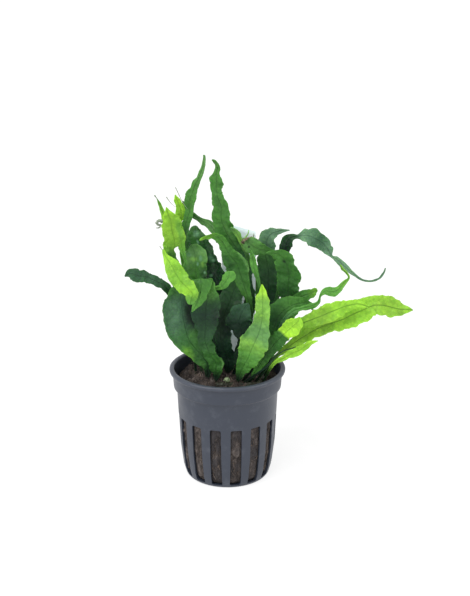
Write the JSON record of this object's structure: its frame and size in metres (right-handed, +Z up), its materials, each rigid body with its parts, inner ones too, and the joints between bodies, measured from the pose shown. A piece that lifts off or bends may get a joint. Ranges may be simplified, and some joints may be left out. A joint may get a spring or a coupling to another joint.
{
  "type": "potted aquarium fern",
  "caption": "Small java fern with narrow and broad arching fronds on creeping rhizomes, planted in coir in a slotted net pot with a blank label.",
  "frame": {"origin": "centre of the pot's flat underside", "axes": "+Z up along the pot's axis; -Y is the front of the plant, the side that its fronds turn to; +X to the right seen from the front"},
  "size_m": [0.1276, 0.075, 0.1542],
  "materials": {
    "pot_plastic": "satin charcoal, fine moulded skin, light dust",
    "coir": "rough brown coconut fibre, matted",
    "rhizome": "dull green creeping stem with brown scales and hair roots",
    "label_plastic": "blank pale blue-white, satin",
    "frond_deep": "deep blue-green living leaf, waxy, raised veins",
    "frond_mid": "mid green living leaf, waxy, raised veins",
    "frond_light": "light yellow-green living leaf, waxy, raised veins",
    "frond_lime": "lime green young leaf, waxy, dark midrib"
  },
  "bodies": {
    "root": {"frond_back_centre": "frond_mid", "frond_back_fallen": "frond_mid", "frond_back_far_left": "frond_mid", "frond_back_far_right": "frond_mid", "frond_back_left": "frond_mid", "frond_back_left_inner": "frond_mid", "frond_back_left_low": "frond_mid", "frond_back_outer_right": "frond_mid", "frond_back_right": "frond_mid", "frond_back_right_inner": "frond_mid", "frond_back_right_low": "frond_mid", "frond_back_slim_left": "frond_mid", "frond_back_slim_right": "frond_mid", "frond_band_left": "frond_light", "frond_bare_stalk": "frond_deep", "frond_blistered": "frond_mid", "frond_bright_front": "frond_light", "frond_broad_left": "frond_mid", "frond_curling_over": "frond_mid", "frond_dark_centre": "frond_deep", "frond_dark_right": "frond_deep", "frond_dark_strip": "frond_deep", "frond_diagonal": "frond_mid", "frond_folded_front": "frond_deep", "frond_hooked_right": "frond_deep", "frond_light_left": "frond_light", "frond_light_upper": "frond_lime", "frond_lime_patch": "frond_lime", "frond_little_right": "frond_mid", "frond_long_light": "frond_lime", "frond_long_tail": "frond_deep", "frond_low_dark": "frond_deep", "frond_low_light": "frond_light", "frond_olive_right": "frond_mid", "frond_pointing_left": "frond_deep", "frond_round_dark": "frond_deep", "frond_slim_centre": "frond_light", "frond_slim_left": "frond_light", "frond_small_centre": "frond_mid", "frond_small_curl": "frond_light", "frond_tall_left": "frond_mid", "frond_tall_right": "frond_mid", "frond_wiry_right": "frond_light", "frond_yellow_left": "frond_light", "frond_yellow_strip": "frond_light", "growing_medium": "coir", "net_pot": "pot_plastic", "plant_label": "label_plastic", "rhizome_back": "rhizome", "rhizome_front": "rhizome", "rhizome_middle": "rhizome", "rhizome_rear": "rhizome"}
  },
  "joints": []
}
